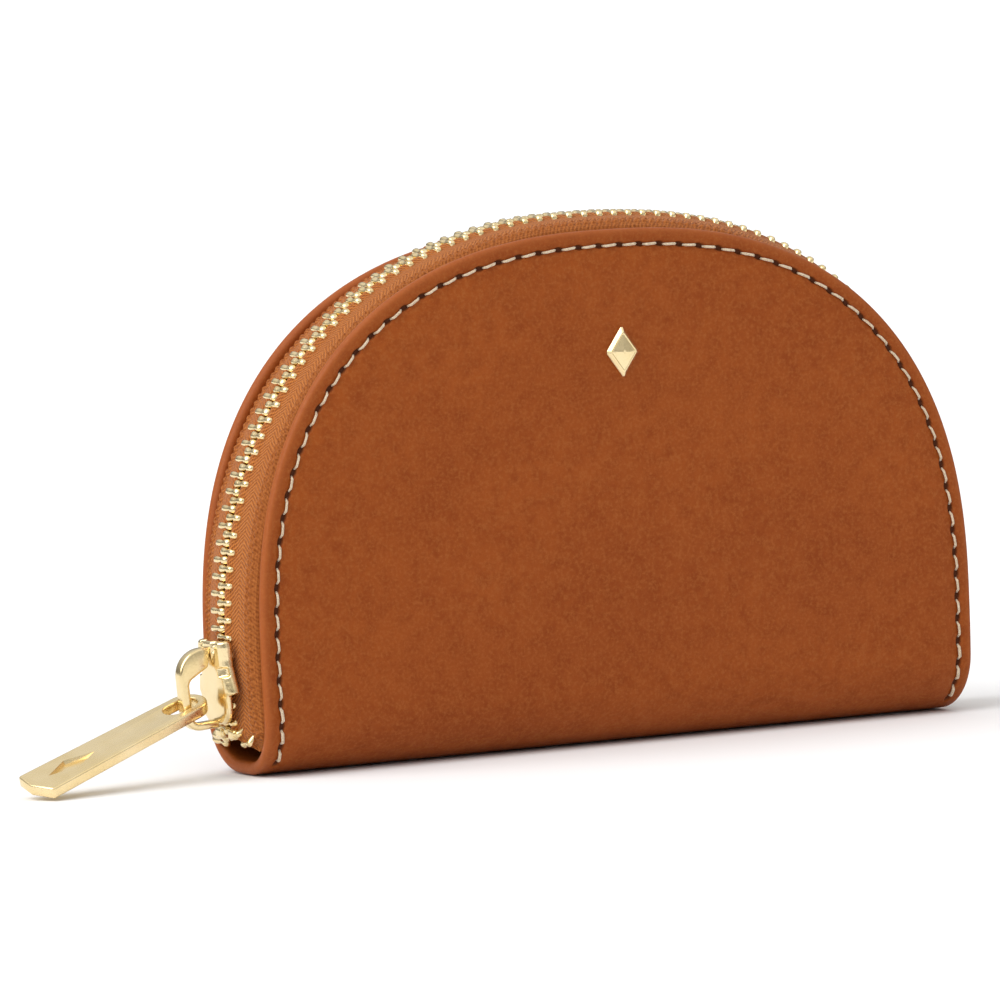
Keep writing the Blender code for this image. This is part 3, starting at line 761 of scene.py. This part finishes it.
def build_tape(side):
    """One woven tape, from the cord in the teeth's legs to the flange that is sewn behind the leather."""
    place = "front" if side < 0 else "back"
    count = 1300
    flat = zip_line(TAPE_LOW, count)
    x, z = flat.T
    step = unit(np.gradient(flat, axis=0))
    outwards = np.column_stack((-step[:, 1], np.zeros(count), step[:, 0]))
    length = np.linalg.norm(np.diff(flat, axis=0), axis=1).sum()
    travel = np.linspace(0, length, count)
    section = np.vstack((TAPE_OUTSIDE, TAPE_INSIDE))
    reach, high = section.T
    # two columns of links, half a link apart, make the plaited ridge
    link_length, link_half_width, link_height = 1.25, 0.33, 0.52
    in_sight = np.arange(len(section)) < len(TAPE_OUTSIDE) - 2
    ridge = np.zeros((count, len(section)))
    for middle, start in ((6.35, 0), (7.20, 0.5)):
        links = np.abs(np.sin(math.pi * (travel / link_length + start))) ** 0.8
        column = np.exp(-((reach - middle) / link_half_width) ** 2) * in_sight
        ridge += links[:, None] * column[None]
    # where the rows part, the tape's inner edge goes with its teeth and its outer edge stays sewn
    inner_edge, sewn = 1.0, 8.0
    pushed = parting(z, x)[:, None] * np.clip((sewn - reach) / (sewn - inner_edge), 0, 1)[None]
    # at the upper right the teeth stand higher than the leather, and the tape slopes down between them
    drop = 1.7
    upper_right = np.clip(2 * x / CHAIN_SHAPE[0] * (z - WIDEST_Z) / CHAIN_SHAPE[1] / 1.1, 0, 1) ** 2
    slope = drop * upper_right[:, None] * smooth((reach - 2.5) / 5)[None]
    v = high[None] + link_height * ridge - slope
    base = np.column_stack((x, np.zeros(count), z))
    grid = base[:, None] + outwards[:, None] * v[..., None]
    grid[..., 1] = side * (reach[None] + pushed)
    tape = lofted_piece(place + "_zip_tape", [grid], TAPE_LOOK, "zip_tape", 0)
    store(tape, "along", np.repeat(travel, len(section)))
    store(tape, "across", np.tile(reach, count))
    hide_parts(place + "_tape")
    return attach(tape, place)


def rounded_block(low, high, soft, steps=3):
    """A box with rounded edges, as a grid of stations along its first axis."""
    low, high = np.array(low, float), np.array(high, float)
    soft = min(soft, *((high - low) / 2.01))
    turns = np.linspace(0, math.pi / 2, steps + 1)
    sections = [(low[0] + soft * (1 - math.sin(t)), soft * (1 - math.cos(t))) for t in turns[::-1]]
    sections += [(high[0] - soft * (1 - math.sin(t)), soft * (1 - math.cos(t))) for t in turns]
    rows = []
    for x, inset in sections:
        ring = []
        for y, z, start in ((1, 1, 0), (-1, 1, 90), (-1, -1, 180), (1, -1, 270)):
            centre = ((high[1] if y > 0 else low[1]) - y * soft, (high[2] if z > 0 else low[2]) - z * soft)
            ring += [(x, *p) for p in arc(centre, max(soft - inset, 0.02), start, start + 90, steps)]
        rows.append(ring)
    return np.array(rows)


def build_stops():
    """Stops clamped over the tapes' cords at both ends of the zip."""
    for name, side in (("top_stop_front", -1), ("top_stop_back", 1), ("bottom_stop", 0)):
        low, high = (np.array(corner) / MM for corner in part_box(name))
        grids = [rounded_block(low, high, 0.45)]
        if not side:
            # the crimped rib across the bottom stop
            from_ends, half_width, proud = 0.5, 0.3, 0.25
            middle = (low + high) / 2
            grids.append(rounded_block((high[0] - 0.6, low[1] + from_ends, middle[2] - half_width),
                                       (high[0] + proud, high[1] - from_ends, middle[2] + half_width), 0.25))
        stop = lofted_piece(name + "_cast", grids, CAST_BRASS, "pale_brass", 50)
        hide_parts(name)
        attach(stop, "front" if side < 0 else "back")


# ---- Slider and pull ----

# The slider's own axes: outwards from the zip's line, across it, and along it towards the closed end
SLIDER_FRAME = (Matrix.Translation((0, 0, WIDEST_Z * MM)) @ Matrix.Rotation(SLIDER_LEAN, 4, "Y")
                @ Matrix(((-1, 0, 0, 0), (0, -1, 0, 0), (0, 0, 1, 0), (0, 0, 0, 1))))


def slider_shell(turn):
    """Half of the slider: a crowned plate with curled flanges that flare into wings at mid-length.

    turn is 1 for the outer half and -1 for the inner one. Each station is its place along the slider,
    half width, lower edge and crown height, then how deep the slot in its shoulder and the groove beside
    the bridge's foot are.
    """
    channel = 1.68              # half height of the channel that the teeth run in
    no_flange = 1.8             # a station whose lower edge is above this has no flange
    stations = [
        (-6.2, 1.5, 1.95, 2.25, 0, 0), (-6.05, 2.4, 1.9, 2.5, 0, 0), (-5.7, 3.2, 1.9, 2.75, 0, 0),
        (-5.1, 3.9, 1.9, 2.85, 0, 0), (-4.4, 4.3, 1.9, 2.9, 0, 0), (-3.4, 4.45, 1.9, 2.9, 0, 0),
        (-2.2, 4.45, 1.9, 2.9, 0, 0), (-1.75, 4.5, 1.85, 2.9, 0, 0), (-1.6, 5.1, 1.0, 2.9, 0, 0),
        (-1.35, 5.4, 0.9, 2.9, 0, 0), (-0.8, 5.3, 0.9, 2.9, 0, 0), (0.2, 5.0, 0.9, 2.9, 0, 0),
        (0.95, 4.75, 0.9, 2.9, 0, 0), (1.15, 4.7, 0.9, 2.9, 0.9, 0), (2.3, 4.4, 0.9, 2.9, 0.9, 0),
        (2.5, 4.3, 0.9, 2.9, 0, 0), (3.4, 4.2, 0.85, 2.9, 0, 0.1), (4.4, 4.2, 0.85, 2.9, 0, 0.35),
        (5.3, 4.2, 0.85, 2.88, 0, 0.65), (5.9, 4.15, 0.9, 2.82, 0, 0.85), (6.1, 4.05, 1.0, 2.7, 0, 0.9),
        (6.2, 3.9, 1.1, 2.55, 0, 0.85)]
    rows = []
    for a, w, low, crown, slot, groove in stations:
        inner = max(min(3.55, w - 0.75), 0.4)
        if low > no_flange:
            half = [(0, crown), (0.28 * w, crown), (0.45 * w, crown), (0.62 * w, crown - 0.03),
                    (0.80 * w, crown - 0.12), (0.92 * w, crown - 0.25), (w - 0.02, crown - 0.42),
                    (w, crown - 0.6), (w, low), (w - 0.1, low - 0.15), (inner + 0.1, low - 0.2),
                    (inner, low - 0.2), (inner - 0.05, channel + 0.01), (inner - 0.15, channel), (0, channel)]
        else:
            half = [(0, crown), (0.28 * w, crown), (0.43 * w, crown - groove), (0.58 * w, crown - 0.06),
                    (0.78 * w, crown - 0.15 - slot), (0.88 * w, crown - 0.38 - slot),
                    (0.96 * w, crown - 0.80 - 0.4 * slot), (w, crown - 1.2), (w, low + 0.1), (w - 0.1, low),
                    (inner + 0.1, low), (inner, low + 0.1), (inner, channel - 0.13),
                    (inner - 0.15, channel), (0, channel)]
        ring = half + [(-y, r) for y, r in half[-2:0:-1]]
        rows.append([(TRACK_RADIUS + turn * r, y, a) for y, r in ring])
    return np.array(rows)


def fused(name, grids, voxel, smoothing):
    """Casts the lofts into one skin with soft edges. The mesh is in metres, voxel in millimetres."""
    obj = add_object(name, closed_mesh(name, *joined_lofts(grids)))
    remesh = obj.modifiers.new("cast", "REMESH")
    remesh.mode = "VOXEL"
    remesh.voxel_size = voxel
    soften = obj.modifiers.new("soften", "SMOOTH")
    soften.iterations = smoothing
    soften.factor = 0.5
    mesh = evaluated_mesh(obj)
    mesh.transform(Matrix.Scale(MM, 4))
    return mesh


def build_slider_body():
    """The slider's two halves, joined by the post that parts the rows of teeth."""
    half_high, half_wide, from_end, to_middle = 2.2, 0.75, -5.6, -2.2
    post = rounded_block((TRACK_RADIUS - half_high, -half_wide, from_end),
                         (TRACK_RADIUS + half_high, half_wide, to_middle), 0.5)
    mesh = fused("slider_cast", [slider_shell(1), slider_shell(-1), post], voxel=0.09, smoothing=3)
    slider = finish_piece("slider_cast", mesh, CAST_BRASS, 0, SLIDER_FRAME)
    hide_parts("slider_body")
    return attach(slider, "slider")


def build_slider_bridge():
    """The arch that holds the pull: a C in side view, with both feet on the slider's plate.

    Its points are outwards from the zip's line, and along it from the slider's middle.
    """
    foot, out, high, low = 2.6, BRIDGE_OUT, 5.4, -6.6
    upper, lower, thickness, bevel, foot_height = 4.0, 2.6, 2.1, 0.40, 1.15
    outside = [(foot, high), (out - upper, high)]
    outside += arc((out - upper, high - upper), upper, 90, 0, 14)[1:]
    outside += arc((out - lower, low + lower), lower, 0, -90, 10) + [(foot, low)]
    window = [(foot, low + foot_height)] + arc((out - 2.5, low + foot_height + 1.1), 1.1, -90, 0, 6)
    window += arc((out - 2.7, 0.0), 1.3, 0, 70, 6) + arc((foot + 1.3, 2.9), 0.6, -110, -180, 4)
    loop = [(TRACK_RADIUS + r, a) for r, a in outside + window]
    mesh = bevelled_plate("bridge_plate", [loop], thickness, bevel)
    mesh.transform(Matrix.Rotation(math.radians(90), 4, "X"))
    bridge = finish_piece("slider_arch", mesh, CAST_BRASS, 40, SLIDER_FRAME)
    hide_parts("slider_bridge")
    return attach(bridge, "slider")


def pull_plate():
    """The pull's plate about the bridge's bar, with a blunt point at its tip and an oval eye.

    It returns the object, and the plate's length and thickness.
    """
    length, half_tip, corner, point = 29.1, 3.95, 0.5, 0.9
    end, half_eye_end = 3.3, 3.2
    eye_end, eye_start, half_eye = 1.95, -3.7, 1.7
    thickness, bevel = 1.7, 0.32
    edge = arc((end - half_eye_end, 0), half_eye_end, 90, -90, 20)
    edge += [(-length + 0.6, -half_tip)] + arc((-length + corner, -half_tip + corner), corner, -100, -165, 4)
    edge += [(-length - point, 0)]
    edge += arc((-length + corner, half_tip - corner), corner, 165, 100, 4) + [(-length + 0.6, half_tip)]
    eye = arc((eye_end - half_eye, 0), half_eye, -90, 90, 14)
    eye += arc((eye_start + half_eye, 0), half_eye, 90, 270, 14)
    mesh = bevelled_plate("pull_plate", [edge, eye], thickness, bevel)
    return add_object("pull_plate", mesh), length, thickness


def build_pull():
    """Flat pull with a sunk lozenge near its tip, hung on the bridge's bar."""
    plate, length, thickness = pull_plate()
    # the lozenge is cut with a four-sided cone, which is stretched along the pull
    from_tip, floor_radius, mouth_radius, depth = 7.0, 0.86, 1.14, 1.2
    stretch = Matrix.Diagonal((4.4, 1.8, 1, 1))
    place = Matrix.Translation(((-length + from_tip) * MM, 0, thickness / 2 * MM)) @ stretch
    work = bmesh.new()
    bmesh.ops.create_cone(work, cap_ends=True, segments=4, radius1=floor_radius * MM,
                          radius2=mouth_radius * MM, depth=depth * MM, matrix=place)
    cutter_mesh = bpy.data.meshes.new("pit")
    work.to_mesh(cutter_mesh)
    work.free()
    cutter = add_object("pit", cutter_mesh)
    cut = plate.modifiers.new("pit", "BOOLEAN")
    cut.operation = "DIFFERENCE"
    cut.solver = "EXACT"
    cut.object = cutter
    mesh = evaluated_mesh(plate)
    bpy.data.objects.remove(cutter)
    inside_bridge, from_middle = 0.75, 3.1
    bar = SLIDER_FRAME @ Vector(((TRACK_RADIUS + BRIDGE_OUT - inside_bridge) * MM, 0, -from_middle * MM))
    turn = Matrix.Identity(4)
    for axis, degrees in PULL_TURNS.items():
        turn = turn @ Matrix.Rotation(math.radians(degrees), 4, axis)
    pull = finish_piece("pull", mesh, BRUSHED_BRASS, 35, Matrix.Translation(bar) @ turn)
    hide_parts("pull_tab")
    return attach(pull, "pull")


def build_stud():
    """Faceted lozenge with a raised border."""
    low, high = (np.array(corner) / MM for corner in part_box("emblem_stud"))
    middle, half = (low + high) / 2, (high - low) / 2
    face = low[1]
    corners = [np.array((math.cos(turn), math.sin(turn))) for turn in np.radians((0, 90, 180, 270, 360))]
    rows = []
    # each ring's share of the stud's size, and its depth behind the face: rim, border, then the facets
    for scale, depth in ((0.93, 1.45), (1.0, 1.3), (1.0, 0.75), (0.96, 0.62), (0.80, 0.30), (0.76, 0.28),
                         (0.70, 0.36), (0.10, 0.0), (0.02, 0.0)):
        ring = []
        for a, b in zip(corners, corners[1:]):
            # the first and last shares leave each corner slightly blunt
            for t in (0.06, 0.3, 0.5, 0.7, 0.94):
                x, z = a + (b - a) * t
                ring.append((middle[0] + half[0] * scale * x, face + depth, middle[2] + half[2] * scale * z))
        rows.append(ring)
    stud = lofted_piece("lozenge_stud", [np.array(rows)], CAST_BRASS, "pale_brass", 12)
    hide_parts("emblem_stud")
    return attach(stud, "front")


# ---- Stage ----

def build_floor():
    """A wide white disc just under the pouch. Its sizes are in metres."""
    radius, gap = 40, 0.0002
    work = bmesh.new()
    bmesh.ops.create_circle(work, cap_ends=True, segments=96, radius=radius)
    mesh = bpy.data.meshes.new("studio_floor")
    work.to_mesh(mesh)
    work.free()
    material, tree, shader = new_material("floor_white", Roughness=0.9, Specular_IOR_Level=0.1)
    link(tree, shader, Base_Color=mix(tree, noise(tree, 900, 2), (0.90, 0.90, 0.90), (0.92, 0.92, 0.92)))
    mesh.materials.append(material)
    floor = add_object("studio_floor", mesh)
    floor.location.z = -gap


def build_light():
    """A backdrop that looks white and gives a softer light from above, and two wide soft suns."""
    low_sky, high_sky, backdrop = 0.22, 0.86, 1.15
    world = bpy.data.worlds.new("studio")
    bpy.context.scene.world = world
    world.use_nodes = True
    tree = world.node_tree
    background = tree.nodes["Background"]
    background.inputs["Color"].default_value = (1.0, 1.0, 1.0, 1)
    seen = node(tree, "LightPath").outputs["Is Camera Ray"]
    up = node(tree, "SeparateXYZ", {"Vector": node(tree, "TexCoord").outputs["Generated"]}).outputs["Z"]
    sky = between(tree, up, 0.0, 0.75, low_sky, high_sky)
    brightness = maths(tree, "MAXIMUM", sky, maths(tree, "MULTIPLY", seen, backdrop))
    tree.links.new(brightness, background.inputs["Strength"])

    for name, direction, spread, strength in (("key", (-1.0, -0.10, 0.9), 60, 2.3),
                                              ("fill", (0.5, -0.9, 0.7), 90, 0.35)):
        lamp = bpy.data.lights.new(name, "SUN")
        lamp.angle = math.radians(spread)
        lamp.energy = strength
        sun = add_object(name, lamp)
        sun.rotation_euler = (-Vector(direction)).to_track_quat("-Z", "Y").to_euler()


def build_camera():
    """A long lens from the front left, slightly above. Its place is in metres."""
    place = (-0.5424, -1.01828, 0.12202)
    azimuth, elevation, roll = (math.radians(turn) for turn in (27.39, 4.23, -2.45))
    forward = Vector((math.sin(azimuth) * math.cos(elevation), math.cos(azimuth) * math.cos(elevation),
                      -math.sin(elevation)))
    right = Vector((math.cos(azimuth), -math.sin(azimuth), 0))
    up = right.cross(forward)
    right, up = right * math.cos(roll) + up * math.sin(roll), up * math.cos(roll) - right * math.sin(roll)
    lens = bpy.data.cameras.new("camera")
    lens.sensor_width = 36
    lens.lens = 277.4
    lens.clip_start = 0.05
    lens.clip_end = 100
    camera = add_object("camera", lens)
    turn = Matrix((right, up, -forward)).transposed().to_4x4()
    camera.matrix_world = Matrix.Translation(place) @ turn
    bpy.context.scene.camera = camera
    bpy.context.scene.view_settings.view_transform = "Standard"


build_leather()
build_lining()
for side in (-1, 1):
    build_stitches(side)
    build_tape(side)
    build_teeth(side)
build_stops()
build_slider_body()
build_slider_bridge()
build_pull()
build_stud()
# the washer's CAD shape is right, and it only needs its metal
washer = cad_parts["emblem_washer"]
washer.data.materials.clear()
washer.data.materials.append(CAST_BRASS)
build_floor()
build_light()
build_camera()
